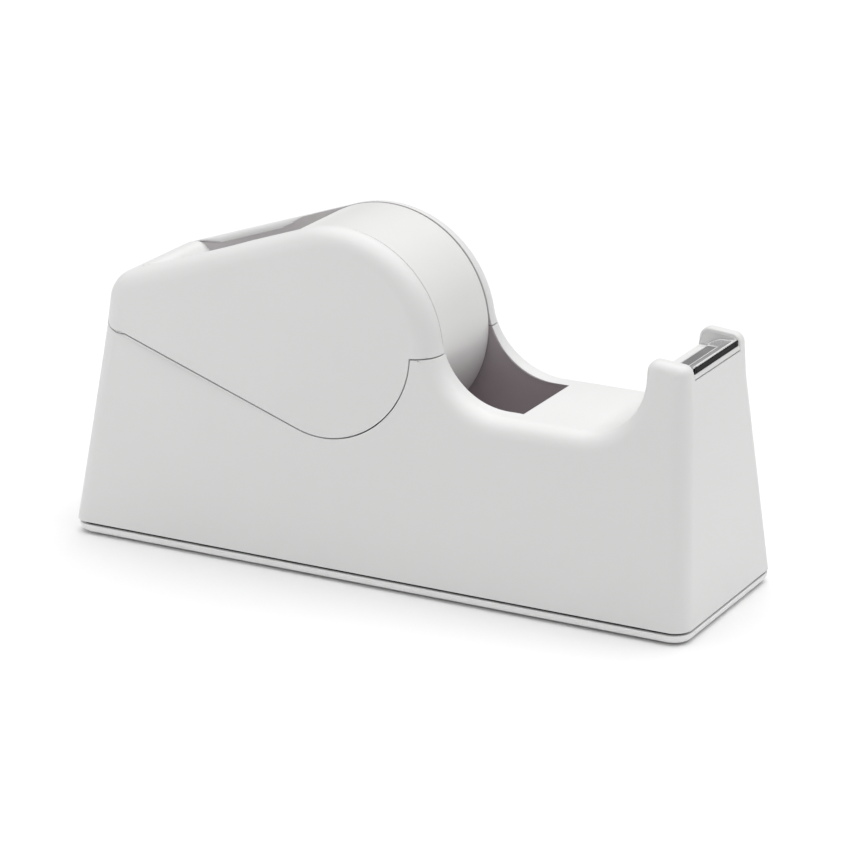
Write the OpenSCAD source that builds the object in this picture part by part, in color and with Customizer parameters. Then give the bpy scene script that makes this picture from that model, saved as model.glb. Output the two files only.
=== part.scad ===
// Weighted desktop tape dispenser for a wide roll on a one-inch core.
// Frame: +X towards the cutter, +Z up, origin on the table under the middle of the body.

/* [Body] */
// Length of the body at the seam above the base plate
body_len = 200; // [196:1:204]
// Width of the body at the seam above the base plate
body_w = 63; // [62:0.5:64]
// Draft of the two long sides in degrees
side_draft = 8.3; // [8:0.1:8.6]
// Draft of the rear end in degrees
rear_draft = 6.6; // [6:0.1:7]
// Draft of the front end in degrees
front_draft = 4.6; // [4:0.1:5]
// Radius on the deck's long edges and the four standing corners
edge_r = 5.4; // [4.8:0.1:5.6]
// Radius on the lid's long edges
lid_edge_r = 6; // [5:0.1:6.4]
// Height from which the sides of the roll housing stand steeper
steep_z = 62; // [61:0.5:63]
// Draft of the sides of the roll housing above that height in degrees
steep_draft = 2.9; // [2.5:0.1:3.3]
// Thickness of the moulded walls
wall = 2.4; // [2.2:0.1:2.6]
// Height of the deck above the table
deck_z = 54.5; // [54:0.1:55]
// Height of the two cheeks that guard the cutter
head_z = 77.9; // [77:0.1:78.5]
// Place along X of the deck edge where the roll bay starts
bay_front_x = 41.6; // [41:0.1:42]
// Half of the inside width of the roll bay
bay_half_w = 14.6; // [14.4:0.1:14.8]

/* [Base plate] */
// Height of the plate's top face
base_top_z = 3.4; // [3.2:0.1:3.6]
// Height of the recessed seam between the plate and the body
seam_h = 0.6; // [0.4:0.1:0.8]
// Height that the feet lift the plate off the table
foot_lift = 0.5; // [0.4:0.1:0.6]
// Diameter of a foot
foot_d = 13; // [10:1:14]

/* [Lid] */
// Radius of the lid's upper outline, round the roll
rim_r = 33.4; // [33:0.1:34]
// Radius of the lid's lower outline, round the roll
lid_arc_r = 26.8; // [26.4:0.1:27.2]
// Slope of the straight part of the lid's lower outline in degrees
lid_slope = 18.1; // [17.5:0.1:18.5]
// Radius of the rear top edge
rear_r = 9.6; // [9.2:0.1:10]
// Gap all round between the lid and the body
lid_gap = 0.5; // [0.4:0.1:0.6]
// Diameter of the hinge pin
hinge_pin_d = 3; // [2.8:0.1:3.2]

/* [Roll] */
// Diameter of the full tape roll
roll_d = 66.4; // [60:0.1:66.4]
// Width of the tape
roll_w = 28.4; // [19:0.1:28.4]
// Width of the cardboard core and of the hub's drum
core_w = 27.6; // [19:0.1:27.6]
// Bore of the cardboard core
core_id = 25.4; // [25.2:0.1:25.6]
// Thickness of the cardboard core
core_t = 2.3; // [2:0.1:2.6]
// Place of the axle along X
axle_x = -17.4; // [-17.6:0.1:-17.2]
// Height of the axle
axle_z = 68.2; // [68:0.1:68.4]
// Diameter of the axle
axle_d = 4; // [3.8:0.1:4.2]

/* [Cutter] */
// Half of the width between the two cheeks
head_half_w = 15.5; // [15.3:0.1:15.7]
// Height of the landing platform
platform_z = 72.9; // [72.8:0.1:73]
// Rise of the wedge under the blade above the platform
blade_rise = 2.9; // [2.7:0.1:3]
// Pitch of the blade's teeth
tooth_pitch = 1.3; // [1:0.1:2]
// Height of the blade's teeth
tooth_h = 0.9; // [0.7:0.1:1.1]

/* [Weight] */
// Length of the ballast block
ballast_len = 146; // [120:1:146]
// Width of the ballast block
ballast_w = 38; // [30:1:38]
// Height of the ballast block
ballast_h = 19; // [14:1:19]

/* [Hidden] */
$fn = 64;

seam_z = base_top_z + seam_h;
side_k = tan(side_draft);
steep_k = tan(steep_draft);
rear_k = tan(rear_draft);
front_k = tan(front_draft);
far = 130;
out_y = 40;

// Outline centres in the XZ plane
axle = [axle_x, axle_z];
rear_c = [-83, 70.9];
horn_sweep_r = 22;
horn_sweep_c = [axle_x + sqrt(pow(rim_r + horn_sweep_r, 2) - pow(deck_z + horn_sweep_r - axle_z, 2)),
                deck_z + horn_sweep_r];
head_sweep_r = 18;
head_rear_x = 81.6;
head_sweep_c = [head_rear_x - head_sweep_r, deck_z + head_sweep_r];
horn_top_z = 68.7;
head_front_x = body_len / 2 - front_k * (platform_z + blade_rise - seam_z);

// Hinge of the lid
hinge = [-86.3, 71.2];
hinge_knuckle_r = 3.2;
hinge_fit = 0.05;
hinge_sweep_r = 9.7;
arm_y0 = 4.5;
arm_y1 = 10.5;

// Roll bay
bay_floor_z = 31;
bay_rear_x = -55;
bay_wall = 1.8;
cradle_r = 8.5;
cradle_foot = 12;

// Roll and hub
core_r = core_id / 2;
hub_r = core_r - 0.1;
hub_flange_r = core_r + 1.4;
hub_flange_t = 0.5;
hub_boss_y = 14.35;
axle_fit = 0.05;

// Base
boss_xy = [66, 23.6];
foot_xy = [86, 19];
ballast_screw_x = 50;

// Points of an arc in the XZ plane, from angle a0 to a1
function arc(c, r, a0, a1, n = 16) =
    [for (i = [0:n]) let (a = a0 + (a1 - a0) * i / n) [c[0] + r * cos(a), c[1] + r * sin(a)]];

// Angle from point p to point q
function heading(p, q) = atan2(q[1] - p[1], q[0] - p[0]);

// Normal angle of the straight line that touches the rear circle and the rim circle from above
top_line_a = 90 + heading(rear_c, axle) + asin((rim_r - rear_r) / norm(axle - rear_c));
// Angle on the rim where it meets the sweep down to the deck
rim_meet_a = heading(axle, horn_sweep_c);
// Point where the lid's lower straight line leaves its arc
lid_foot_a = -90 - lid_slope;
// Height of the lid's lower straight line at x
function lid_line_z(x) =
    axle_z + lid_arc_r * sin(lid_foot_a) - tan(lid_slope) * (x - axle_x - lid_arc_r * cos(lid_foot_a));

// Upper outline of body and lid together, moved inwards by d
function outer_outline(d) = concat(
    [[far, -far], [far, head_z - d], [head_rear_x + d, head_z - d]],
    arc(head_sweep_c, head_sweep_r + d, 0, -90, 12),
    arc(horn_sweep_c, horn_sweep_r + d, -90, rim_meet_a - 180, 14),
    arc(axle, rim_r - d, rim_meet_a, top_line_a, 22),
    arc(rear_c, rear_r - d, top_line_a, 180, 8),
    [[rear_c[0] - rear_r + d, -far]]);

// Everything above the parting line, with the line moved down by g
function lid_region(g) = concat(
    [[-far, lid_line_z(-far) - g]],
    arc(axle, lid_arc_r + g, lid_foot_a, -atan((axle_z - horn_top_z + 1 + g) / lid_arc_r), 28),
    [[axle_x + lid_arc_r + g, horn_top_z - 0.7 - g], [16, horn_top_z - g], [30, horn_top_z + 2],
     [30, far], [-far, far]]);

// Cavity under the body's skin, a wall's thickness inside the upper outline and the parting line
cavity_step_z = 62;
head_roof_z = 66;
horn_step_a = 180 + asin((horn_sweep_c[1] - cavity_step_z) / (horn_sweep_r + wall));
function cavity_outline() = concat(
    [[-far, -far], [far, -far], [far, head_roof_z]],
    arc(head_sweep_c, head_sweep_r + wall, -18, -90, 10),
    arc(horn_sweep_c, horn_sweep_r + wall, -90, horn_step_a - 360, 10),
    arc(axle, lid_arc_r + wall, -asin((axle_z - cavity_step_z) / (lid_arc_r + wall)), lid_foot_a, 20),
    [[-78, lid_line_z(-78) - wall - 0.2], [-84, hinge[1] - 12.6], [-far, hinge[1] - 12.6]]);

// Inside of the roll bay
function bay_outline(d) = [
    [bay_rear_x - d, far], [bay_rear_x - d, bay_floor_z + 14], [bay_rear_x + 14 - d, bay_floor_z - d],
    [bay_front_x - 8 + d, bay_floor_z - d], [bay_front_x + d, bay_floor_z + 8], [bay_front_x + d, far]];

// An XZ outline drawn from y0 to y1
module slab(y0, y1) {
    translate([0, y1, 0]) rotate([90, 0, 0]) linear_extrude(y1 - y0) children();
}

// A cylinder along Y at the XZ point c, from y0 to y1
module y_rod(c, r, y0, y1) {
    translate([c[0], y1, c[1]]) rotate([90, 0, 0]) cylinder(h = y1 - y0, r = r);
}

// Does the same to the near and the far side
module both_sides() {
    children();
    mirror([0, 1, 0]) children();
}

// Rectangle with round corners, around the origin
module rounded_rect(l, w, r) {
    square([l - 2 * r, w], center = true);
    square([l, w - 2 * r], center = true);
    for (sx = [-1, 1], sy = [-1, 1])
        translate([sx * (l / 2 - r), sy * (w / 2 - r)]) circle(r);
}

// Rear face, front face and half width of the drafted body at height z
function rear_x(z) = -body_len / 2 + rear_k * (z - seam_z);
function front_x(z) = body_len / 2 - front_k * (z - seam_z);
function half_w(z) = body_w / 2 - side_k * (z - seam_z);

// Half width at the long edges: the sides of the roll housing stand steeper above steep_z
housing_front_x = 45;
function edge_w(x, z) =
    x < housing_front_x && z > steep_z ? half_w(steep_z) - steep_k * (z - steep_z) : half_w(z);

// Level slice of the drafted body at height z, moved inwards by d, with standing corners of radius r
module body_slice(z, d, r) {
    y1 = half_w(z) - d - r;
    translate([0, 0, z]) for (x = [rear_x(z) + d + r, front_x(z) - d - r], y = [-y1, y1])
        translate([x, y, 0]) cylinder(h = 0.01, r = r, $fn = 20);
}

// The drafted block that the whole body is cut from
module draft_block(z0, z1, d, r) {
    hull() {
        body_slice(z0, d, r);
        body_slice(z1, d, r);
    }
}

// The steeper block round the roll housing, its lower part and its rear face just inside the drafted block
module steep_block() {
    inset = 0.06;
    round_r = edge_r + 0.3;
    hull() for (z = [steep_z - 12, 112]) {
        y1 = half_w(steep_z) - steep_k * (z - steep_z) - round_r;
        translate([0, 0, z]) {
            for (y = [-y1, y1]) translate([rear_x(z) + inset + round_r, y, 0])
                cylinder(h = 0.01, r = round_r, $fn = 20);
            translate([0, -y1 - round_r, 0]) cube([housing_front_x, 2 * (y1 + round_r), 0.01]);
        }
    }
}

// Rows of the crown's outline in the XZ plane: x, z, outward normal and edge radius there
function arc_rows(c, r, a0, a1, n, bulge, e0, e1, first = 0) =
    [for (i = [first:n]) let (a = a0 + (a1 - a0) * i / n)
        [c[0] + r * cos(a), c[1] + r * sin(a), bulge * cos(a), bulge * sin(a), e0 + (e1 - e0) * i / n]];

crown_out = 6;
crown_y = 50;
head_edge_r = 2.8;
head_corner_r = 3;
head_front_c = [front_x(head_z - head_corner_r) - head_corner_r - 0.2, head_z - head_corner_r - 0.6];
crown_rows = concat(
    [[rear_x(seam_z) - crown_out, seam_z, -1, 0, edge_r],
     [rear_x(rear_c[1] - 6) - crown_out, rear_c[1] - 6, -1, 0, edge_r]],
    arc_rows(rear_c, rear_r, 180, top_line_a, 7, 1, edge_r, lid_edge_r),
    arc_rows(axle, rim_r, top_line_a, rim_meet_a, 20, 1, lid_edge_r, lid_edge_r),
    arc_rows(horn_sweep_c, horn_sweep_r, rim_meet_a - 180, -90, 10, -1, lid_edge_r, edge_r, first = 1),
    arc_rows(head_sweep_c, head_sweep_r, -90, 0, 10, -1, edge_r, head_edge_r),
    arc_rows([head_rear_x + head_corner_r, head_z - head_corner_r], head_corner_r, 180, 87, 3, 1,
             head_edge_r, head_edge_r),
    arc_rows(head_front_c, head_corner_r, 87, 20, 3, 1, head_edge_r, head_edge_r),
    [[front_x(head_z - 8) + crown_out, head_z - 8, 1, 0, edge_r],
     [front_x(seam_z) + crown_out, seam_z, 1, 0, edge_r]]);

// Point of the crown at a row: turned by t round the edge, then pushed out by sideways
function crown_point(row, t, sideways, side) =
    let (drop = row[4] * (1 - cos(t)), z = row[1] - drop * row[3])
    [row[0] - drop * row[2], side * (edge_w(row[0], z) - row[4] * (1 - sin(t)) + sideways), z];

// The body's top surface with its long edges rounded, running out past the long sides
module crown() {
    turns = [0, 15, 30, 45, 60, 75];
    n = len(crown_rows);
    half = concat([for (t = turns) [t, 0]], [[90, 0.5], [90, crown_y]]);
    columns = concat([for (j = [len(half) - 1:-1:0]) [-1, half[j]]], [for (h = half) [1, h]]);
    last = len(columns) - 1;
    polyhedron(
        points = [for (c = columns, row = crown_rows) crown_point(row, c[1][0], c[1][1], c[0])],
        faces = concat(
            [[for (i = [0:n - 1]) i]],
            [[for (i = [n - 1:-1:0]) last * n + i]],
            [for (j = [0:last - 1], i = [0:n - 1]) let (k = (i + 1) % n)
                [j * n + i, (j + 1) * n + k, j * n + k]],
            [for (j = [0:last - 1], i = [0:n - 1]) let (k = (i + 1) % n)
                [j * n + i, (j + 1) * n + i, (j + 1) * n + k]]));
}

// Outside of body and lid together, with all its long edges rounded
module outer_form() {
    intersection() {
        union() {
            draft_block(seam_z - 2, 112, 0, edge_r);
            steep_block();
        }
        crown();
    }
}

// Plate with the half-round seat that holds one end of the axle
module cradle() {
    seat_top = axle_z + cradle_r;
    difference() {
        slab(bay_half_w, bay_half_w + bay_wall)
            polygon([[axle_x - cradle_foot, axle_z - 30], [axle_x + cradle_foot, axle_z - 30],
                     [axle_x + cradle_r, axle_z + 2], [axle_x + cradle_r - 2, seat_top],
                     [axle_x - cradle_r + 2, seat_top], [axle_x - cradle_r, axle_z + 2]]);
        y_rod(axle, axle_d / 2 + axle_fit, bay_half_w - 1, bay_half_w + bay_wall + 1);
        slab(bay_half_w - 1, bay_half_w + bay_wall + 1)
            polygon([[axle_x - axle_d / 2 - axle_fit, axle_z], [axle_x + axle_d / 2 + axle_fit, axle_z],
                     [axle_x + axle_d / 2 + 1.6, seat_top + 1], [axle_x - axle_d / 2 - 1.6, seat_top + 1]]);
    }
}

// Bent arm of the body that carries the hinge pin; the lid's rear skin swings under its bend
module hinge_arm() {
    difference() {
        slab(arm_y0, arm_y1) {
            translate(hinge) circle(hinge_knuckle_r);
            translate(hinge) polygon([[0, -2.6], [10.2, -2.6], [10.2, -15.2], [14.6, -17], [14.6, -3.8],
                                      [8.5, 1.4], [0, hinge_knuckle_r - 0.2]]);
        }
        y_rod(hinge, hinge_pin_d / 2 + hinge_fit, 0, 20);
    }
}

// Screw post under the body's skin
module base_boss(sx, sy) {
    translate([sx * boss_xy[0], sy * boss_xy[1], 0]) difference() {
        translate([0, 0, seam_z + 1.6]) cylinder(h = 18, d = 7);
        translate([0, 0, seam_z]) cylinder(h = 15, d = 2.5);
    }
}

module body_shell() {
    color("whitesmoke") {
        difference() {
            union() {
                difference() {
                    outer_form();
                    slab(-out_y, out_y) polygon(lid_region(lid_gap / 2));
                    y_rod(hinge, hinge_sweep_r, -out_y, out_y);
                    intersection() {
                        draft_block(-8, 108, wall, 3);
                        slab(-out_y, out_y) polygon(cavity_outline());
                    }
                }
                intersection() {
                    difference() {
                        slab(-bay_half_w - bay_wall, bay_half_w + bay_wall)
                            polygon(bay_outline(bay_wall));
                        slab(-out_y, out_y) polygon(lid_region(lid_gap / 2 + 0.5));
                    }
                    draft_block(-8, 108, 1, 3);
                    slab(-out_y, out_y) polygon(outer_outline(1));
                }
                intersection() {
                    for (sx = [-1, 1], sy = [-1, 1]) base_boss(sx, sy);
                    draft_block(-8, 108, 1, 3);
                }
            }
            slab(-bay_half_w, bay_half_w) polygon(bay_outline(0));
            cutter_pocket();
        }
        both_sides() {
            cradle();
            hinge_arm();
        }
    }
}

// Space in the head for the cutter block, open to the top, to the rear above the rear wall and to the front
pocket_floor_z = 68.4;
pocket_rear_x = head_rear_x + 1.9;
front_wall_t = 2.6;
lip_gap_z = 72.5;
ledge_t = 1;
screw_x = 88;
screw_y = 9;
module cutter_pocket() {
    front_x = head_front_x - front_wall_t;
    translate([pocket_rear_x, -head_half_w, pocket_floor_z])
        cube([front_x - pocket_rear_x, 2 * head_half_w, 20]);
    translate([pocket_rear_x, -head_half_w, lip_gap_z])
        cube([30, 2 * head_half_w, 20]);
    translate([head_rear_x - 5, -head_half_w, platform_z - ledge_t - 0.2])
        cube([pocket_rear_x + 6 - head_rear_x, 2 * head_half_w, 20]);
    for (y = [-screw_y, screw_y]) translate([screw_x, y, pocket_floor_z - 6]) cylinder(h = 10, d = 3);
}

module base_plate() {
    round_r = 2.4;
    color("whitesmoke") difference() {
        union() {
            hull() for (i = [0:6]) {
                a = 90 * i / 6;
                inset = round_r * (1 - sin(a));
                translate([0, 0, foot_lift + round_r * (1 - cos(a))])
                    linear_extrude(base_top_z - foot_lift - round_r * (1 - cos(a)))
                        rounded_rect(body_len - 2 * inset, body_w - 2 * inset, edge_r + 0.6 - inset);
            }
            translate([0, 0, base_top_z]) linear_extrude(seam_h)
                rounded_rect(body_len - 2, body_w - 2, edge_r);
            translate([0, 0, seam_z]) linear_extrude(1.4) difference() {
                rounded_rect(body_len - 2 * wall - 1.6, body_w - 2 * wall - 1.6, 3);
                rounded_rect(body_len - 2 * wall - 5.2, body_w - 2 * wall - 5.2, 2);
            }
        }
        for (sx = [-1, 1], sy = [-1, 1]) {
            translate([sx * foot_xy[0], sy * foot_xy[1], -1]) cylinder(h = foot_lift + 2, d = foot_d);
            translate([sx * boss_xy[0], sy * boss_xy[1], -1]) {
                cylinder(h = 10, d = 3.4);
                cylinder(h = 2.9, d = 6.4);
            }
        }
        for (sx = [-1, 1]) translate([sx * ballast_screw_x, 0, -1]) {
            cylinder(h = 10, d = 4.4);
            cylinder(h = 3.1, d = 8);
        }
    }
}

// Pan-head screw standing on its head at height z
module screw_up(z, head_d, head_h, shank_d, length, slot_w) {
    translate([0, 0, z]) difference() {
        union() {
            cylinder(h = head_h, d = head_d);
            cylinder(h = head_h + length, d = shank_d);
        }
        for (a = [0, 90]) rotate([0, 0, a])
            translate([-head_d * 0.3, -slot_w / 2, -1]) cube([head_d * 0.6, slot_w, 1 + head_h * 0.5]);
    }
}

module ballast_block() {
    color("dimgray") difference() {
        translate([0, 0, seam_z]) linear_extrude(ballast_h) rounded_rect(ballast_len, ballast_w, 4);
        for (sx = [-1, 1]) translate([sx * ballast_screw_x, 0, seam_z - 1]) cylinder(h = 12, d = 4);
    }
}

module ballast_screws() {
    color("silver") for (sx = [-1, 1])
        translate([sx * ballast_screw_x, 0, 0]) screw_up(0.9, 7.6, 1.2, 3.96, 10, 1);
}

module base_screws() {
    color("silver") for (sx = [-1, 1], sy = [-1, 1])
        translate([sx * boss_xy[0], sy * boss_xy[1], 0]) screw_up(0.9, 6, 1, 2.46, 14, 0.8);
}

module rubber_feet() {
    color("dimgray") for (sx = [-1, 1], sy = [-1, 1])
        translate([sx * foot_xy[0], sy * foot_xy[1], 0]) cylinder(h = foot_lift + 1, d = foot_d - 0.2);
}

// Lug of the lid that hangs on the hinge pin
module lid_lug() {
    difference() {
        intersection() {
            slab(11, 14.4) {
                translate(hinge) circle(4);
                polygon([[-95, hinge[1] + 1], [hinge[0] + 3.6, hinge[1] + 1],
                         [hinge[0] + 5.6, 90], [-95, 90]]);
            }
            slab(0, 20) polygon(outer_outline(1));
            draft_block(-8, 108, 1, 3);
        }
        y_rod(hinge, hinge_pin_d / 2 + 0.01, 0, 20);
    }
}

ramp_top_x = -80.5;
ramp_foot = [-60, 63.5];
rim_depth = 8;
module lid() {
    color("white") {
        difference() {
            intersection() {
                outer_form();
                slab(-out_y, out_y) polygon(lid_region(-lid_gap / 2));
            }
            // open slot over and behind the roll, down a ramp from the rear
            slab(-bay_half_w - 0.2, bay_half_w + 0.2)
                polygon([[ramp_top_x, 84], [ramp_top_x, 80.6], ramp_foot, [ramp_foot[0], 20],
                         [far, 20], [far, far], [ramp_top_x, far]]);
            // hollow of the two cheeks, under a deep rim
            intersection() {
                draft_block(-8, 108, wall, 3);
                slab(-out_y, out_y) polygon(concat(
                    arc(axle, rim_r - rim_depth, -35, top_line_a, 20),
                    [[-70, 76], [-76, 20], [10, 20]]));
            }
            // hollow behind the ramp for the hinge
            intersection() {
                draft_block(-8, 108, wall, 3);
                slab(-out_y, out_y) polygon(concat(
                    arc(rear_c, rear_r - wall, top_line_a, 180, 8),
                    [[rear_c[0] - rear_r + wall, 20], [ramp_foot[0] - wall, 20],
                     ramp_foot - [wall, 0.8], [ramp_top_x - 0.6, 77.4]]));
            }
        }
        both_sides() lid_lug();
    }
}

module hinge_pin() {
    color("silver") y_rod(hinge, hinge_pin_d / 2, -14.3, 14.3);
}

// Ring along Y round the axle
module roll_ring(r_out, r_in, y0, y1) {
    difference() {
        y_rod(axle, r_out, y0, y1);
        y_rod(axle, r_in, y0 - 1, y1 + 1);
    }
}

module tape_roll() {
    color("ivory") roll_ring(roll_d / 2, core_r + core_t, -roll_w / 2, roll_w / 2, $fn = 96);
}

module tape_core() {
    color("burlywood") roll_ring(core_r + core_t, core_r, -core_w / 2, core_w / 2);
}

// Half of the hub: drum, flange, web and boss, for the far side
module hub_half() {
    flange_y = core_w / 2;
    roll_ring(hub_r, hub_r - 1.6, 0, flange_y);
    roll_ring(hub_flange_r, hub_r - 1.6, flange_y, flange_y + hub_flange_t);
    difference() {
        roll_ring(hub_r - 1.6, 4.5, flange_y - 3.5, flange_y - 1.7);
        for (i = [0:5]) y_rod(axle + 7.7 * [cos(60 * i), sin(60 * i)], 1.9, 0, 20);
    }
    roll_ring(4.5, axle_d / 2 + axle_fit, 0, hub_boss_y);
}

module hub_near_half() {
    color("gainsboro") mirror([0, 1, 0]) hub_half();
}

module hub_far_half() {
    color("gainsboro") hub_half();
}

module hub_axle() {
    color("silver") y_rod(axle, axle_d / 2, -bay_half_w - bay_wall, bay_half_w + bay_wall);
}

// Places on the head, from the rear of the platform to the blade
block_clear = 0.15;
frame_rear_x = 84.7;
wedge_x = 88.3;
wedge_front_x = head_front_x - 0.8;
wedge_a = atan2(blade_rise, wedge_front_x - wedge_x);
lip_top_z = 74.1;
rivet_y = 13.2;
rivet_z = 74.8;
rivet_d = 1;
module cutter_block() {
    half_w = head_half_w - block_clear;
    front_in_x = head_front_x - front_wall_t - 0.2;
    color("white") difference() {
        slab(-half_w, half_w) polygon([
            [pocket_rear_x + 0.2, pocket_floor_z], [front_in_x, pocket_floor_z],
            [front_in_x, lip_gap_z + 0.45], [head_front_x + 0.2, lip_gap_z + 0.45],
            [head_front_x + 0.15, lip_gap_z + 0.8], [head_front_x - 0.25, lip_top_z],
            [wedge_front_x, lip_top_z], [wedge_front_x, platform_z + blade_rise],
            [wedge_x, platform_z], [head_rear_x + 0.4, platform_z],
            [head_rear_x + 0.1, platform_z - 0.3], [head_rear_x + 0.1, platform_z - ledge_t],
            [pocket_rear_x + 0.2, platform_z - ledge_t]]);
        for (y = [-screw_y, screw_y])
            translate([screw_x, y, pocket_floor_z - 1]) cylinder(h = 4.2, d = 2);
        rivet_holes(rivet_d);
    }
}

// Drills or rivets through the clamp bar into the wedge
module rivet_holes(d) {
    for (y = [-rivet_y, rivet_y]) translate([wedge_front_x - 0.5, y, rivet_z])
        rotate([0, 90, 0]) cylinder(h = 2, d = d);
}

module cutter_block_screws() {
    head_h = 1.1;
    color("silver") for (y = [-screw_y, screw_y]) translate([screw_x, y, 0])
        screw_up(head_roof_z - head_h, 4.6, head_h, 1.98, 5.4, 0.6);
}

// Metal frame on the platform: a window for the pad and a tab at each end of the blade
tab_t = 0.7;
tab_front_x = 91.9;
frame_t = 0.4;
window_rear_x = frame_rear_x + 0.4;
window_front_x = wedge_x - 0.4;
module blade_frame() {
    half_w = head_half_w - 0.5;
    tab_in = half_w - tab_t;
    color("lightsteelblue") {
        difference() {
            translate([frame_rear_x, -half_w + 0.1, platform_z])
                cube([wedge_x - frame_rear_x - 0.1, 2 * half_w - 0.2, frame_t]);
            translate([window_rear_x, -tab_in + 0.5, platform_z - 1])
                cube([window_front_x - window_rear_x, 2 * tab_in - 1, 3]);
        }
        both_sides() difference() {
            slab(tab_in, half_w) polygon([
                [frame_rear_x, platform_z], [wedge_front_x - 0.1, platform_z], [wedge_front_x - 0.1, 75.4],
                [tab_front_x, 75.6], [wedge_x, 75.3], [frame_rear_x, platform_z + 0.8]]);
            slab(tab_in - 1, half_w + 1) offset(delta = 0.03) wedge_section();
        }
    }
}

// Side view of the wedge that the block stands under the blade
module wedge_section() {
    polygon([[wedge_x, platform_z - 0.1], [wedge_front_x, platform_z - 0.1],
             [wedge_front_x, platform_z + blade_rise], [wedge_x, platform_z]]);
}

module rest_pad() {
    half_w = head_half_w - 1.75;
    color("gray") translate([window_rear_x + 0.05, -half_w, platform_z])
        cube([window_front_x - window_rear_x - 0.1, 2 * half_w, 0.3]);
}

// Toothed plate that lies on the wedge; its teeth stand out over the clamp bar
blade_t = 0.35;
module blade() {
    teeth = floor(2 * (head_half_w - 1.6) / tooth_pitch);
    half_w = teeth * tooth_pitch / 2;
    root = norm([wedge_front_x - wedge_x, blade_rise]);
    color("silver") translate([wedge_x, 0, platform_z]) rotate([0, -wedge_a, 0]) linear_extrude(blade_t)
        polygon(concat(
            [[0.4, -half_w], [root, -half_w]],
            [for (i = [0:teeth - 1]) each [[root + tooth_h, -half_w + (i + 0.5) * tooth_pitch],
                                           [root, -half_w + (i + 1) * tooth_pitch]]],
            [[0.4, half_w]]));
}

module blade_clamp_bar() {
    half_w = head_half_w - 0.6;
    color("black") difference() {
        translate([wedge_front_x + 0.03, -half_w, lip_top_z + 0.03])
            cube([0.5, 2 * half_w, platform_z + blade_rise - lip_top_z - 0.05]);
        rivet_holes(rivet_d);
    }
}

module clamp_rivets() {
    color("black") intersection() {
        rivet_holes(rivet_d - 0.02);
        translate([wedge_front_x - 0.45, -20, 70]) cube([1.05, 40, 10]);
    }
}

body_shell();
base_plate();
ballast_block();
ballast_screws();
base_screws();
rubber_feet();
lid();
hinge_pin();
tape_roll();
tape_core();
hub_near_half();
hub_far_half();
hub_axle();
cutter_block();
cutter_block_screws();
blade_frame();
rest_pad();
blade();
blade_clamp_bar();
clamp_rivets();
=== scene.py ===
import math

import bmesh
import bpy
from mathutils import Matrix, Vector


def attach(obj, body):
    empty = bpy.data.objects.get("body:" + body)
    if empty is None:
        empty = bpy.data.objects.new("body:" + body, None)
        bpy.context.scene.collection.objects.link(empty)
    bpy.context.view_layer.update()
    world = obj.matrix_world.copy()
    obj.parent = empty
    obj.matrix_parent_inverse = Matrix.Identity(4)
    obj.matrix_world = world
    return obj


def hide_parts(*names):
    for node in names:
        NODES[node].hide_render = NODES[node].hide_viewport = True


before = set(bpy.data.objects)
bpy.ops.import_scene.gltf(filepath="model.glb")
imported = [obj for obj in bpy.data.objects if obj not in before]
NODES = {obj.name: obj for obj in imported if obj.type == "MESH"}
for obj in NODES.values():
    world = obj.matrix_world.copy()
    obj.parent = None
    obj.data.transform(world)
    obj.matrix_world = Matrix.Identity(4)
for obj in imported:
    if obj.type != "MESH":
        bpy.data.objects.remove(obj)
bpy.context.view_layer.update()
MM = 0.001
FAR = 130

# ---------------------------------------------------------------- sizes, in mm
BODY_LEN, BODY_W = 200, 63
SIDE_K, REAR_K, FRONT_K = (math.tan(math.radians(a)) for a in (8.3, 6.6, 4.6))
BASE_TOP, SEAM_Z = 3.4, 4.0
EDGE_R, LID_EDGE_R, HEAD_EDGE_R = 5.4, 6.0, 2.8
WALL = 2.4
STEEP_Z, STEEP_K, STEEP_BLEND, HOUSING_X = 62, 0.05, 8, 50
DECK_Z, HEAD_Z = 54.5, 77.9
AXLE = (-17.4, 68.2)
RIM_R, LID_ARC_R, LID_SLOPE = 33.4, 26.8, 18.1
REAR_C, REAR_R = (-83, 70.9), 9.6
HORN_R = 22
HORN_C = (AXLE[0] + math.sqrt((RIM_R + HORN_R) ** 2 - (DECK_Z + HORN_R - AXLE[1]) ** 2), DECK_Z + HORN_R)
HEAD_SWEEP_R, HEAD_REAR_X = 18, 81.6
HEAD_C = (HEAD_REAR_X - HEAD_SWEEP_R, DECK_Z + HEAD_SWEEP_R)
HORN_TOP_Z = 68.7
LID_GAP = 0.36
HINGE, SWEEP_R = (-86.3, 71.2), 9.4
BAY_X, BAY_HALF, BAY_FLOOR, BAY_REAR = 41.6, 14.6, 31, -55
HEAD_HALF = 15.5
PLATFORM_Z, BLADE_RISE = 72.9, 2.9
LEDGE_T = 1.0
ROLL_R, ROLL_HALF = 33.2, 14.2
CORE_HALF = 13.8
SLOT_HALF = 14.65
BAY_WALL = 1.8
CAVITY_STEP_Z, HEAD_ROOF_Z = 62, 66
HEAD_CORNER_R, HEAD_FRONT_EDGE_R = 3.0, 3.4
HEAD_WALL_REAR, HEAD_WALL_FRONT = 1.9, 2.6
POCKET_FLOOR_Z, GAP_Z = 68.4, 72.5
OUT_Y = 40
INNER_Z = (-8, 108)
CRADLE_R, CRADLE_FOOT, SEAT_R = 8.5, 12, 2.05
ARM_Y, LUG_Y, KNUCKLE_R = (4.5, 10.5), (11, 14.4), 3.2
LID_FOOT = (-60, 63.5)
BEND_C, BEND_R, RAMP_A = (-82.42, 76.99), 4, 50.2
FOOT_XY, FOOT_R, BOSS_XY, BALLAST_SCREW_X = (86, 19), 6.4, (66, 23.6), 50
CORE_BORE_R, CORE_R = 12.7, 15


def rear_x(z):
    return -BODY_LEN / 2 + REAR_K * (z - SEAM_Z)


def front_x(z):
    return BODY_LEN / 2 - FRONT_K * (z - SEAM_Z)


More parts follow.
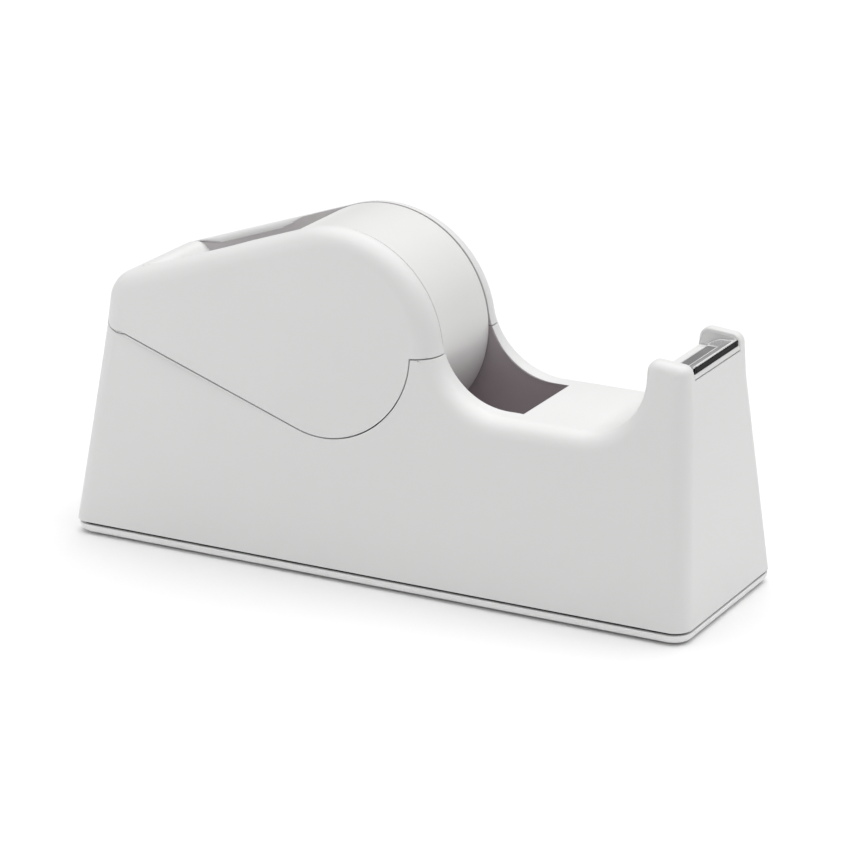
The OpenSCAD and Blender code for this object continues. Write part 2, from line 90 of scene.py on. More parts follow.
def half_w(z, x=100.0):
    """Half width of the body; above the lid's foot the sides of the roll housing stand steeper."""
    w = BODY_W / 2 - SIDE_K * (z - SEAM_Z)
    if x < HOUSING_X:
        over, blend = z - STEEP_Z, STEEP_BLEND
        w += (SIDE_K - STEEP_K) * (max(over, 0.0) if abs(over) > blend else (over + blend) ** 2 / (4 * blend))
    return w


HEAD_FRONT_X = front_x(PLATFORM_Z + BLADE_RISE)


def deg_heading(p, q):
    return math.degrees(math.atan2(q[1] - p[1], q[0] - p[0]))


TOP_A = 90 + deg_heading(REAR_C, AXLE) + math.degrees(
    math.asin((RIM_R - REAR_R) / math.dist(AXLE, REAR_C)))
MEET_A = deg_heading(AXLE, HORN_C)
FOOT_A = -90 - LID_SLOPE


def arc(c, r, a0, a1, step=2.0):
    n = max(2, round(abs(a1 - a0) / step))
    return [(c[0] + r * math.cos(math.radians(a0 + (a1 - a0) * i / n)),
             c[1] + r * math.sin(math.radians(a0 + (a1 - a0) * i / n))) for i in range(n + 1)]


def lid_line_z(x):
    a, k = math.radians(FOOT_A), math.tan(math.radians(LID_SLOPE))
    return AXLE[1] + LID_ARC_R * math.sin(a) - k * (x - AXLE[0] - LID_ARC_R * math.cos(a))


# ---------------------------------------------------------------- mesh helpers
def new_object(name, mesh):
    obj = bpy.data.objects.new(name, mesh)
    bpy.context.scene.collection.objects.link(obj)
    return obj


def mesh_object(name, points, faces):
    """An object from points in mm."""
    mesh = bpy.data.meshes.new(name)
    mesh.from_pydata([[c * MM for c in p] for p in points], [], faces)
    mesh.update()
    obj = new_object(name, mesh)
    fix_normals(obj)
    return obj


def fix_normals(obj):
    bm = bmesh.new()
    bm.from_mesh(obj.data)
    bmesh.ops.recalc_face_normals(bm, faces=bm.faces)
    bm.to_mesh(obj.data)
    bm.free()


def slab(name, outline, y0, y1):
    """An XZ outline drawn from y0 to y1."""
    n = len(outline)
    points = [(x, y0, z) for x, z in outline] + [(x, y1, z) for x, z in outline]
    faces = [list(range(n)), list(range(2 * n - 1, n - 1, -1))]
    faces += [[i, n + i, n + (i + 1) % n, (i + 1) % n] for i in range(n)]
    return mesh_object(name, points, faces)


def box(name, low, high):
    x0, y0, z0 = low
    x1, y1, z1 = high
    return slab(name, [(x0, z0), (x1, z0), (x1, z1), (x0, z1)], y0, y1)


def loft(name, rings):
    """Closed skin over rings that all have the same number of points."""
    n = len(rings[0])
    points = [p for ring in rings for p in ring]
    faces = []
    for j in range(len(rings) - 1):
        a, b = j * n, (j + 1) * n
        faces += [[a + i, a + (i + 1) % n, b + (i + 1) % n, b + i] for i in range(n)]
    faces += [list(range(n)), list(range((len(rings) - 1) * n, len(rings) * n))]
    return mesh_object(name, points, faces)


def lathe(name, profile, centre, segments):
    """A profile of (radius, y) turned about the Y axis through the XZ point centre."""
    rings = []
    for i in range(segments):
        a = 2 * math.pi * i / segments
        rings.append([(centre[0] + r * math.cos(a), y, centre[1] + r * math.sin(a)) for r, y in profile])
    n = len(profile)
    faces = []
    for i in range(segments):
        a, b = i * n, (i + 1) % segments * n
        faces += [[a + k, a + (k + 1) % n, b + (k + 1) % n, b + k] for k in range(n)]
    return mesh_object(name, [p for ring in rings for p in ring], faces)


def cut(obj, tool, how="DIFFERENCE"):
    """Boolean of obj with tool, which is used up."""
    mod = obj.modifiers.new("cut", "BOOLEAN")
    mod.operation = how
    mod.solver = "MANIFOLD"
    mod.object = tool
    apply_all(obj)
    bpy.data.objects.remove(tool)
    return obj


def apply_all(obj):
    bpy.context.view_layer.update()
    mesh = bpy.data.meshes.new_from_object(obj.evaluated_get(bpy.context.evaluated_depsgraph_get()))
    obj.modifiers.clear()
    obj.data = mesh


def clean(obj, dist=0.01):
    bm = bmesh.new()
    bm.from_mesh(obj.data)
    bmesh.ops.remove_doubles(bm, verts=bm.verts, dist=dist * MM)
    bmesh.ops.dissolve_degenerate(bm, edges=bm.edges, dist=dist * MM)
    bm.to_mesh(obj.data)
    bm.free()


def bevel(obj, width, angle=35, segments=2):
    mod = obj.modifiers.new("bevel", "BEVEL")
    mod.width = width * MM
    mod.segments = segments
    mod.limit_method = "ANGLE"
    mod.angle_limit = math.radians(angle)
    mod.use_clamp_overlap = False
    mod.harden_normals = False
    apply_all(obj)


def smooth(obj, angle=40):
    obj.data.shade_smooth()
    obj.data.set_sharp_from_angle(angle=math.radians(angle))
    mod = obj.modifiers.new("weighted", "WEIGHTED_NORMAL")
    mod.keep_sharp = True
    mod.weight = 100
    apply_all(obj)


def add(obj, *others):
    """Joins the meshes of others into obj, as separate shells of one piece."""
    bm = bmesh.new()
    bm.from_mesh(obj.data)
    for o in others:
        bm.from_mesh(o.data)
        bpy.data.objects.remove(o)
    bm.to_mesh(obj.data)
    bm.free()
    return obj


# ---------------------------------------------------------------- the rounded outer form
def arc_rows(c, r, a0, a1, step, bulge, e0, e1):
    n = max(2, round(abs(a1 - a0) / step))
    rows = []
    for i in range(n + 1):
        a = math.radians(a0 + (a1 - a0) * i / n)
        rows.append((c[0] + r * math.cos(a), c[1] + r * math.sin(a), bulge * math.cos(a),
                     bulge * math.sin(a), e0 + (e1 - e0) * i / n))
    return rows


def line_rows(p, q, normal, n, e0, e1):
    return [(p[0] + (q[0] - p[0]) * i / n, p[1] + (q[1] - p[1]) * i / n, normal[0], normal[1],
             e0 + (e1 - e0) * i / n) for i in range(n + 1)]


def outer_rows():
    rear_n = (-math.cos(math.atan(REAR_K)), math.sin(math.atan(REAR_K)))
    front_n = (math.cos(math.atan(FRONT_K)), math.sin(math.atan(FRONT_K)))
    rear_a = 180 - math.degrees(math.atan(REAR_K))
    front_a = math.degrees(math.atan(FRONT_K))
    rear_start = arc(REAR_C, REAR_R, rear_a, rear_a - 1)[0]
    shift = rear_start[0] - rear_x(rear_start[1])
    rows = line_rows((rear_x(SEAM_Z) + shift, SEAM_Z), rear_start, rear_n, 14, EDGE_R, EDGE_R)[:-1]
    rows += arc_rows(REAR_C, REAR_R, rear_a, TOP_A, 4, 1, EDGE_R, LID_EDGE_R)
    rim = arc_rows(AXLE, RIM_R, TOP_A, MEET_A, 2, 1, LID_EDGE_R, LID_EDGE_R)
    rows += line_rows(rows[-1], rim[0], rim[0][2:4], 16, LID_EDGE_R, LID_EDGE_R)[1:-1] + rim
    rows += arc_rows(HORN_C, HORN_R, MEET_A - 180, -90, 2, -1, LID_EDGE_R, EDGE_R)[1:]
    rows += line_rows((HORN_C[0], DECK_Z), (HEAD_C[0], DECK_Z), (0, 1), 8, EDGE_R, EDGE_R)[1:-1]
    rows += arc_rows(HEAD_C, HEAD_SWEEP_R, -90, 0, 2.5, -1, EDGE_R, HEAD_EDGE_R)
    r = HEAD_CORNER_R
    rows += arc_rows((HEAD_REAR_X + r, HEAD_Z - r), r, 180, 87, 8, 1, HEAD_EDGE_R, HEAD_EDGE_R)[1:]
    fz = HEAD_Z - r - 0.6
    fc = (front_x(fz) - r, fz)
    front = arc_rows(fc, r, 87, front_a, 8, 1, HEAD_EDGE_R, HEAD_FRONT_EDGE_R)
    rows += front
    below = (front_x(fz - 10), fz - 10)
    rows += line_rows(front[-1], below, front_n, 8, HEAD_FRONT_EDGE_R, EDGE_R)[1:-1]
    rows += line_rows(below, (front_x(SEAM_Z), SEAM_Z), front_n, 12, EDGE_R, EDGE_R)
    return rows


def inner_edge(x, z):
    """Wall position and rounding of the inner edge of the two cheeks at a point of the outline."""
    if x > 77:
        return HEAD_HALF, 0.9 * min(1.0, max(0.0, (z - 72.6) / 2))
    if z < 50:
        return BAY_HALF, 0.0
    ends = min(1.0, max(0.0, (x + 81) / 5), max(0.0, (39 - x) / 10))
    behind_roll = min(1.0, max(0.0, (-46 - x) / 6))
    return BAY_HALF, ends * (0.4 + 1.8 * behind_roll)


def half_profile(w, e_out, wall, e_in):
    """Points (|y|, depth) across one cheek, from the side plane over the crest to the inner wall."""
    def depth_out(y):
        return e_out - math.sqrt(max(0, e_out ** 2 - max(0, y - (w - e_out)) ** 2))

    def depth_in(y):
        return e_in - math.sqrt(max(0, e_in ** 2 - max(0, wall + e_in - y) ** 2))

    lo, hi = wall, w
    for _ in range(40):
        mid = (lo + hi) / 2
        lo, hi = (lo, mid) if depth_out(mid) > depth_in(mid) else (mid, hi)
    crest = min(max(lo, wall + 0.1), w - 0.1)
    t_out = math.asin(min(1, max(0, (crest - (w - e_out)) / e_out)))
    t_in = math.asin(min(1, max(0, (wall + e_in - crest) / e_in)))
    points = []
    for i in range(15):
        t = math.pi / 2 + (t_out - math.pi / 2) * i / 14
        points.append((w - e_out * (1 - math.sin(t)), e_out * (1 - math.cos(t))))
    for i in range(1, 9):
        t = t_in + (math.pi / 2 - t_in) * i / 8
        points.append((wall + e_in * (1 - math.sin(t)), e_in * (1 - math.cos(t))))
    return points


def outer_form(name):
    rings = []
    for x, z, nx, nz, e in outer_rows():
        w = half_w(z, x)
        wall, e_in = inner_edge(x, z)
        e_in = max(e_in, 1e-5)
        half = half_profile(w, e, wall, e_in)
        ring = []
        for side, points in ((-1, half), (1, half[::-1])):
            for y, depth in points:
                zz = z - depth * nz if z > SEAM_Z else SEAM_Z
                ring.append((x - depth * nx, side * (y + half_w(zz, x) - w), zz))
        rings.append(ring)
    n = len(rings[0])
    points = [p for ring in rings for p in ring]
    faces = []
    for j in range(len(rings)):
        a, b = j * n, (j + 1) % len(rings) * n
        faces += [[a + i, a + i + 1, b + i + 1, b + i] for i in range(n - 1)]
    faces += [[j * n for j in range(len(rings))], [j * n + n - 1 for j in range(len(rings) - 1, -1, -1)]]
    return mesh_object(name, points, faces)


def outer_outline(d):
    return ([(FAR, -FAR), (FAR, HEAD_Z - d), (HEAD_REAR_X + d, HEAD_Z - d)]
            + arc(HEAD_C, HEAD_SWEEP_R + d, 0, -90, 4) + arc(HORN_C, HORN_R + d, -90, MEET_A - 180, 4)
            + arc(AXLE, RIM_R - d, MEET_A, TOP_A, 3) + arc(REAR_C, REAR_R - d, TOP_A, 180, 8)
            + [(REAR_C[0] - REAR_R + d, -FAR)])


def lid_region(g):
    end_a = -math.degrees(math.atan((AXLE[1] - HORN_TOP_Z + 1 + g) / LID_ARC_R))
    return ([(-FAR, lid_line_z(-FAR) - g)] + arc(AXLE, LID_ARC_R + g, FOOT_A, end_a, 1.5)
            + [(AXLE[0] + LID_ARC_R + g, HORN_TOP_Z - 0.7 - g), (16, HORN_TOP_Z - g), (30, HORN_TOP_Z + 2),
               (30, FAR), (-FAR, FAR)])


def bay_outline(d):
    return [(BAY_REAR - d, FAR), (BAY_REAR - d, BAY_FLOOR + 14), (BAY_REAR + 14 - d, BAY_FLOOR - d),
            (BAY_X - 8 + d, BAY_FLOOR - d), (BAY_X + d, BAY_FLOOR + 8), (BAY_X + d, FAR)]


def draft_block(name, z0, z1, d, r, steps=6):
    rings = []
    for z in (z0, z1):
        xr, xf, y = rear_x(z) + d + r, front_x(z) - d - r, half_w(z) - d - r
        ring = []
        for cx, cy, a0 in ((xf, y, 0), (xr, y, 90), (xr, -y, 180), (xf, -y, 270)):
            for i in range(steps + 1):
                a = math.radians(a0 + 90 * i / steps)
                ring.append((cx + r * math.cos(a), cy + r * math.sin(a), z))
        rings.append(ring)
    return loft(name, rings)


def y_rod(name, c, r, y0, y1, step=5):
    return slab(name, arc(c, r, 0, 360 - step, step), y0, y1)


# ---------------------------------------------------------------- materials
def shader(name, base, rough, metallic=0.0):
    mat = bpy.data.materials.new(name)
    mat.use_nodes = True
    tree = mat.node_tree
    bsdf = tree.nodes["Principled BSDF"]
    bsdf.inputs["Base Color"].default_value = (*base, 1)
    bsdf.inputs["Roughness"].default_value = rough
    bsdf.inputs["Metallic"].default_value = metallic
    bsdf.inputs["IOR"].default_value = 1.46
    return mat, tree, bsdf


def noise(tree, scale, detail=4.0, stretch=(1, 1, 1)):
    coord = tree.nodes.new("ShaderNodeTexCoord")
    mapping = tree.nodes.new("ShaderNodeMapping")
    mapping.inputs["Scale"].default_value = stretch
    tex = tree.nodes.new("ShaderNodeTexNoise")
    tex.inputs["Scale"].default_value = scale
    tex.inputs["Detail"].default_value = detail
    tree.links.new(coord.outputs["Object"], mapping.inputs["Vector"])
    tree.links.new(mapping.outputs["Vector"], tex.inputs["Vector"])
    return tex.outputs["Fac"]


def ramp(tree, fac, low, high, a, b):
    node = tree.nodes.new("ShaderNodeMapRange")
    node.inputs["From Min"].default_value = low
    node.inputs["From Max"].default_value = high
    node.inputs["To Min"].default_value = a
    node.inputs["To Max"].default_value = b
    tree.links.new(fac, node.inputs["Value"])
    return node.outputs["Result"]


def tint(tree, bsdf, fac, dark, light):
    mix = tree.nodes.new("ShaderNodeMix")
    mix.data_type = "RGBA"
    mix.inputs["A"].default_value = (*dark, 1)
    mix.inputs["B"].default_value = (*light, 1)
    tree.links.new(fac, mix.inputs["Factor"])
    tree.links.new(mix.outputs["Result"], bsdf.inputs["Base Color"])


def bump(tree, bsdf, fac, strength, distance):
    node = tree.nodes.new("ShaderNodeBump")
    node.inputs["Strength"].default_value = strength
    node.inputs["Distance"].default_value = distance
    tree.links.new(fac, node.inputs["Height"])
    tree.links.new(node.outputs["Normal"], bsdf.inputs["Normal"])


def plastic(name, base, rough, grain=900, strength=0.12):
    """Moulded plastic with a fine spark-eroded grain and a faint mottle."""
    mat, tree, bsdf = shader(name, base, rough)
    fine = noise(tree, grain, 3)
    broad = noise(tree, 22, 3)
    tint(tree, bsdf, ramp(tree, broad, 0.3, 0.7, 0, 1), [c * 0.985 for c in base], base)
    tree.links.new(ramp(tree, fine, 0.2, 0.8, rough - 0.05, rough + 0.06), bsdf.inputs["Roughness"])
    bump(tree, bsdf, fine, strength, 0.00012)
    return mat


def metal(name, base, rough, stretch=(1, 1, 1), scale=700, strength=0.05, metallic=1.0):
    mat, tree, bsdf = shader(name, base, rough, metallic=metallic)
    grain = noise(tree, scale, 4, stretch)
    tint(tree, bsdf, grain, [c * 0.9 for c in base], base)
    tree.links.new(ramp(tree, grain, 0.2, 0.8, rough * 0.7, rough * 1.4), bsdf.inputs["Roughness"])
    bump(tree, bsdf, grain, strength, 0.00005)
    return mat


WHITE = plastic("white_body", (0.80, 0.80, 0.795), 0.42)
# Darker, purplish copy of the white for the roll well's inner faces: painted shade of the deep recess.
WELL_PAINTED_SHADE = plastic("bay_painted_shade", (0.46, 0.41, 0.43), 0.6, strength=0.3)
# Greyer copy of the white for the side walls of the lid's slot: painted shade.
SLOT_WALL_PAINTED_SHADE = plastic("slot_wall_painted_shade", (0.62, 0.59, 0.60), 0.55, strength=0.2)
# Lighter copy of the white for the base plate: painted light, lifting the plate out of its shade near the
# floor.
BASE_WHITE_PAINTED_LIGHT = plastic("white_base", (0.92, 0.92, 0.915), 0.45)
HUB = plastic("hub_plastic", (0.74, 0.74, 0.73), 0.4)
# Dark grey for the strip in the cutter frame's window: painted reflection, the grey that the flat metal flange
# shows.
PAD_PAINTED_REFLECTION = plastic("grey_pad", (0.19, 0.185, 0.19), 0.35, grain=1600)
BLACK = plastic("black_bar", (0.004, 0.004, 0.005), 0.3, grain=1600, strength=0.03)
BLACK.node_tree.nodes["Principled BSDF"].inputs["Specular IOR Level"].default_value = 0.04
BRIGHT = metal("bright_metal", (0.93, 0.93, 0.94), 0.3, (1, 0.05, 1), metallic=0.35)
PIN = metal("pin_steel", (0.66, 0.67, 0.69), 0.25, (1, 0.03, 1))
SCREW = metal("screw_steel", (0.62, 0.63, 0.66), 0.3)
IRON = metal("ballast", (0.10, 0.10, 0.105), 0.65, scale=300, strength=0.5)
# Black rubber for the feet; the same black is painted on the base plate's seam band as the shadow of the gap.
RUBBER_AND_SEAM_SHADOW = plastic("foot_rubber", (0.03, 0.03, 0.03), 0.75, grain=1200, strength=0.3)


def make_card():
    mat, tree, bsdf = shader("core_card", (0.50, 0.38, 0.24), 0.8)
    fibre = noise(tree, 500, 6, (1, 0.15, 1))
    tint(tree, bsdf, ramp(tree, fibre, 0.3, 0.7, 0, 1), (0.40, 0.30, 0.18), (0.58, 0.45, 0.30))
    bump(tree, bsdf, fibre, 0.25, 0.0002)
    return mat


def make_tape():
    """Wound film: a smooth outer turn, and fine turns on the two end faces."""
    mat, tree, bsdf = shader("tape", (0.80, 0.80, 0.79), 0.3)
    coord = tree.nodes.new("ShaderNodeTexCoord")
    split = tree.nodes.new("ShaderNodeSeparateXYZ")
    tree.links.new(coord.outputs["Object"], split.inputs["Vector"])

    def op(kind, a, b):
        node = tree.nodes.new("ShaderNodeMath")
        node.operation = kind
        for socket, value in ((0, a), (1, b)):
            if isinstance(value, (int, float)):
                node.inputs[socket].default_value = value
            elif value is not None:
                tree.links.new(value, node.inputs[socket])
        return node.outputs[0]

    dx = op("SUBTRACT", split.outputs["X"], AXLE[0] * MM)
    dz = op("SUBTRACT", split.outputs["Z"], AXLE[1] * MM)
    radius = op("SQRT", op("ADD", op("MULTIPLY", dx, dx), op("MULTIPLY", dz, dz)), None)
    turns = op("SINE", op("MULTIPLY", radius, 2 * math.pi / 0.00035), None)
    broad = noise(tree, 60, 3)
    tint(tree, bsdf, ramp(tree, broad, 0, 1, 0, 1), (0.795, 0.795, 0.785), (0.815, 0.815, 0.805))
    tree.links.new(ramp(tree, broad, 0, 1, 0.26, 0.34), bsdf.inputs["Roughness"])
    bump(tree, bsdf, turns, 0.25, 0.00003)
    return mat


def make_blade_steel():
    """Hardened steel strip, darker over most of it and painted bright along its toothed front edge as a
    highlight.
    """
    mat, tree, bsdf = shader("blade_steel", (0.5, 0.5, 0.5), 0.35, metallic=0.35)
    coord = tree.nodes.new("ShaderNodeTexCoord")
    split = tree.nodes.new("ShaderNodeSeparateXYZ")
    tree.links.new(coord.outputs["Object"], split.inputs["Vector"])
    # painted highlight: the steel turns bright over the last 1.3 to 1.7 mm towards the front
    edge_highlight = ramp(tree, split.outputs["X"], (HEAD_FRONT_X - 1.7) * MM, (HEAD_FRONT_X - 1.3) * MM, 0, 1)
    tint(tree, bsdf, edge_highlight, (0.33, 0.325, 0.33), (0.95, 0.95, 0.95))
    grain = noise(tree, 700, 4, (1, 0.05, 1))
    tree.links.new(ramp(tree, grain, 0.2, 0.8, 0.25, 0.45), bsdf.inputs["Roughness"])
    bump(tree, bsdf, grain, 0.05, 0.00005)
    return mat


CARD, TAPE, BLADE = make_card(), make_tape(), make_blade_steel()


def finish_piece(obj, mat, body, slot, *nodes):
    obj.data.materials.clear()
    obj.data.materials.append(mat)
    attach(obj, body)
    if nodes:
        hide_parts(*nodes)
    return obj


# ---------------------------------------------------------------- body shell
def make_shell():
    shell = outer_form("shell")
    cut(shell, slab("t", lid_region(LID_GAP / 2), -OUT_Y, OUT_Y))
    cut(shell, y_rod("t", HINGE, SWEEP_R, -OUT_Y, OUT_Y, 4))
    inner = draft_block("t", *INNER_Z, WALL, 3)
    horn_a = 180 + math.degrees(math.asin((HORN_C[1] - CAVITY_STEP_Z) / (HORN_R + WALL)))
    lid_a = -math.degrees(math.asin((AXLE[1] - CAVITY_STEP_Z) / (LID_ARC_R + WALL)))
    outline = ([(-FAR, -FAR), (FAR, -FAR), (FAR, HEAD_ROOF_Z)] + arc(HEAD_C, HEAD_SWEEP_R + WALL, -18, -90, 4)
               + arc(HORN_C, HORN_R + WALL, -90, horn_a - 360, 4)
               + arc(AXLE, LID_ARC_R + WALL, lid_a, FOOT_A, 3)
               + [(-78, lid_line_z(-78) - WALL - 0.2), (-84, HINGE[1] - 12.6), (-FAR, HINGE[1] - 12.6)])
    cut(inner, slab("t", outline, -OUT_Y, OUT_Y), "INTERSECT")
    cut(shell, inner)
    walls = slab("t", bay_outline(BAY_WALL), -BAY_HALF - BAY_WALL, BAY_HALF + BAY_WALL)
    cut(walls, slab("t", lid_region(LID_GAP / 2 + 0.5), -OUT_Y, OUT_Y))
    cut(walls, slab("t", outer_outline(1), -OUT_Y, OUT_Y), "INTERSECT")
    cut(walls, draft_block("t", *INNER_Z, 1, 3), "INTERSECT")
    cut(shell, walls, "UNION")
    cut(shell, slab("t", bay_outline(0), -BAY_HALF, BAY_HALF))
    rear = HEAD_REAR_X + HEAD_WALL_REAR
    ledge_z = PLATFORM_Z - LEDGE_T - 0.2
    for x0, x1, z0 in ((rear, HEAD_FRONT_X - HEAD_WALL_FRONT, POCKET_FLOOR_Z), (rear, 115, GAP_Z),
                       (HEAD_REAR_X - 5, HEAD_REAR_X + 3, ledge_z)):
        cut(shell, box("t", (x0, -HEAD_HALF, z0), (x1, HEAD_HALF, 90)))
    clean(shell)
    bevel(shell, 0.12)
    smooth(shell)
    return shell


def second_material(obj, mat, chosen):
    """Gives mat to the faces whose centre, in mm, is chosen."""
    obj.data.materials.append(mat)
    for face in obj.data.polygons:
        face.material_index = int(chosen(*(c / MM for c in face.center)))


# Faces inside the roll well, which get the painted shade.
def in_painted_shade_well(x, y, z):
    return AXLE[0] < x < BAY_X + 0.1 and abs(y) < BAY_HALF + 0.1 and BAY_FLOOR - 0.1 < z < HORN_TOP_Z


# The plate's step faces in the seam under the shell, which get the painted shadow.
def in_seam_shadow_band(x, y, z):
    return BASE_TOP - 0.19 < z < SEAM_Z + 0.1


def make_cradles():
    r = CRADLE_R
    parts = []
    for y0, y1 in ((BAY_HALF, BAY_HALF + BAY_WALL), (-BAY_HALF - BAY_WALL, -BAY_HALF)):
        x, z = AXLE
        outline = ([(x - CRADLE_FOOT, z - 30), (x + CRADLE_FOOT, z - 30), (x + r, z + 2),
                    (x + r - 2, z + r), (x + 3.6, z + r)]
                   + arc(AXLE, SEAT_R, 0, -180, 15) + [(x - 3.6, z + r), (x - r + 2, z + r), (x - r, z + 2)])
        parts.append(slab("cradle", outline, y0, y1))
    for y0, y1 in (ARM_Y, (-ARM_Y[1], -ARM_Y[0])):
        x, z = HINGE
        arm = slab("arm", [(x + 10.2, z - 2.6), (x + 10.2, z - 15.2), (x + 14.6, z - 17), (x + 14.6, z - 3.8),
                           (x + 8.5, z + 1.4)] + arc(HINGE, KNUCKLE_R, 78, 306, 6), y0, y1)
        cut(arm, y_rod("t", HINGE, 1.55, -30, 30, 10))
        parts.append(arm)
    whole = add(parts[0], *parts[1:])
    bevel(whole, 0.25)
    smooth(whole)
    whole.name = "cradles"
    return whole


shell = make_shell()
finish_piece(add(shell, make_cradles()), WHITE, "body", "white_body", "body_shell")
# the roll well's inner faces get the darker copy of the white as painted shade
second_material(shell, WELL_PAINTED_SHADE, in_painted_shade_well)


# ---------------------------------------------------------------- lid
def make_lid():
    lid = outer_form("lid_skin")
    # the rear corner reaches down to the circle it swings on, so that the parting gap stays even
    upper = slab("upper", lid_region(-LID_GAP / 2), -OUT_Y, OUT_Y)
    cut(upper, y_rod("t", HINGE, SWEEP_R - LID_GAP, -OUT_Y, OUT_Y, 4), "UNION")
    cut(lid, upper, "INTERSECT")
    foot = LID_FOOT
    bend = arc(BEND_C, BEND_R, TOP_A, RAMP_A, 7)
    back = (bend[0][0] - 3, bend[0][1] + 0.3)
    # the slot falls away from the lid's top round a bend and down a ramp
    cut(lid, slab("t", [back] + bend + [foot, (foot[0], 20), (FAR, 20), (FAR, FAR), (back[0], FAR)],
                  -SLOT_HALF, SLOT_HALF))
    for outline in (
            arc(AXLE, RIM_R - 8, -35, TOP_A, 4) + [(-70, 76), (-76, 20), (10, 20)],
            arc(REAR_C, REAR_R - WALL, TOP_A, 180, 8) + [
                (REAR_C[0] - REAR_R + WALL, 20), (foot[0] - WALL, 20), (foot[0] - WALL, foot[1] - 0.8),
                (-81.1, 77.4)]):
        hollow = draft_block("t", *INNER_Z, WALL, 3)
        cut(hollow, slab("t", outline, -OUT_Y, OUT_Y), "INTERSECT")
        cut(lid, hollow)
    clean(lid)
    bevel(lid, 0.12)
    smooth(lid)
    lugs = []
    for y0, y1 in (LUG_Y, (-LUG_Y[1], -LUG_Y[0])):
        x, z = HINGE
        lug = slab("lug", [(-92, z + 1), (x - 3.8, z - 1)] + arc(HINGE, 4, 195, 350, 8)
                   + [(x + 5.6, 79), (x + 2, 80), (-90, 78)], y0, y1)
        cut(lug, slab("t", outer_outline(1), -OUT_Y, OUT_Y), "INTERSECT")
        cut(lug, y_rod("t", HINGE, 1.51, -30, 30, 10))
        bevel(lug, 0.25)
        smooth(lug)
        lugs.append(lug)
    return add(lid, *lugs)


# Side walls of the lid's slot, which get the painted shade.
def in_shaded_slot_wall(x, y, z):
    return x > -79 and abs(abs(y) - SLOT_HALF) < 0.06


lid = finish_piece(make_lid(), WHITE, "lid", "white_body", "lid")
# the slot's side walls get the greyer copy of the white as painted shade
second_material(lid, SLOT_WALL_PAINTED_SHADE, in_shaded_slot_wall)


# ---------------------------------------------------------------- base plate
def rounded_ring(l, w, r, z, steps=10):
    ring = []
    for sx, sy, a0 in ((1, 1, 0), (-1, 1, 90), (-1, -1, 180), (1, -1, 270)):
        for i in range(steps + 1):
            a = math.radians(a0 + 90 * i / steps)
            ring.append((sx * (l / 2 - r) + r * math.cos(a), sy * (w / 2 - r) + r * math.sin(a), z))
    return ring


def make_plate():
    rings = []
    round_r, top = 2.4, BASE_TOP - 0.2
    for i in range(9):
        a = math.radians(90 * i / 8)
        inset = round_r * (1 - math.sin(a))
        rings.append(rounded_ring(BODY_LEN - 2 * inset, BODY_W - 2 * inset, 6 - inset,
                                  0.5 + round_r * (1 - math.cos(a))))
    for inset, z in ((0, top - 0.2), (0.06, top - 0.06), (0.2, top), (1, top), (1, SEAM_Z)):
        rings.append(rounded_ring(BODY_LEN - 2 * inset, BODY_W - 2 * inset, 6 - inset, z))
    plate = loft("plate", rings)
    for sx in (-1, 1):
        for sy in (-1, 1):
            cut(plate, round_post(sx * FOOT_XY[0], sy * FOOT_XY[1], -1, 1.5, FOOT_R + 0.1))
            for top_z, r in ((1.9, 3.2), (9, 1.7)):
                cut(plate, round_post(sx * BOSS_XY[0], sy * BOSS_XY[1], -1, top_z, r))
        for top_z, r in ((2.1, 4), (9, 2.2)):
            cut(plate, round_post(sx * BALLAST_SCREW_X, 0, -1, top_z, r))
    smooth(plate, 30)
    return plate


def round_post(x, y, z0, z1, r, n=48):
    rings = [[(x + r * math.cos(2 * math.pi * i / n), y + r * math.sin(2 * math.pi * i / n), z)
              for i in range(n)] for z in (z0, z1)]
    return loft("t", rings)


# the base plate takes the lighter white, painted light against its shade
plate = finish_piece(make_plate(), BASE_WHITE_PAINTED_LIGHT, "body", "white_base", "base_plate")
# the seam band takes the black: painted shadow of the gap between shell and base plate
second_material(plate, RUBBER_AND_SEAM_SHADOW, in_seam_shadow_band)


def make_feet():
    feet = []
    for sx in (-1, 1):
        for sy in (-1, 1):
            rings = []
            for inset, z in ((0.5, 0), (0.2, 0.06), (0.05, 0.2), (0, 0.4), (0, 1.5)):
                r = FOOT_R - inset
                rings.append([(sx * FOOT_XY[0] + r * math.cos(2 * math.pi * i / 64),
                               sy * FOOT_XY[1] + r * math.sin(2 * math.pi * i / 64), z) for i in range(64)])
            feet.append(loft("foot", rings))
    whole = add(feet[0], *feet[1:])
    smooth(whole, 50)
    return whole


finish_piece(make_feet(), RUBBER_AND_SEAM_SHADOW, "body", "foot_rubber", "rubber_feet")


# ---------------------------------------------------------------- roll, core, hub
def round_profile(r_in, r_out, y0, y1, c, steps=4):
    """Ring section with its four corners rounded to c."""
    points = []
    for cr, cy, a0 in ((r_out - c, y1 - c, 0), (r_in + c, y1 - c, 90), (r_in + c, y0 + c, 180),
                       (r_out - c, y0 + c, 270)):
        for i in range(steps + 1):
            a = math.radians(a0 + 90 * i / steps)
            points.append((cr + c * math.cos(a), cy + c * math.sin(a)))
    return points


roll = lathe("roll", round_profile(CORE_R, ROLL_R, -ROLL_HALF, ROLL_HALF, 0.25), AXLE, 256)
smooth(roll, 50)
finish_piece(roll, TAPE, "roll", "tape", "tape_roll")
core = lathe("core", round_profile(CORE_BORE_R, CORE_R, -CORE_HALF, CORE_HALF, 0.15), AXLE, 160)
smooth(core, 50)
finish_piece(core, CARD, "roll", "core_card", "tape_core")

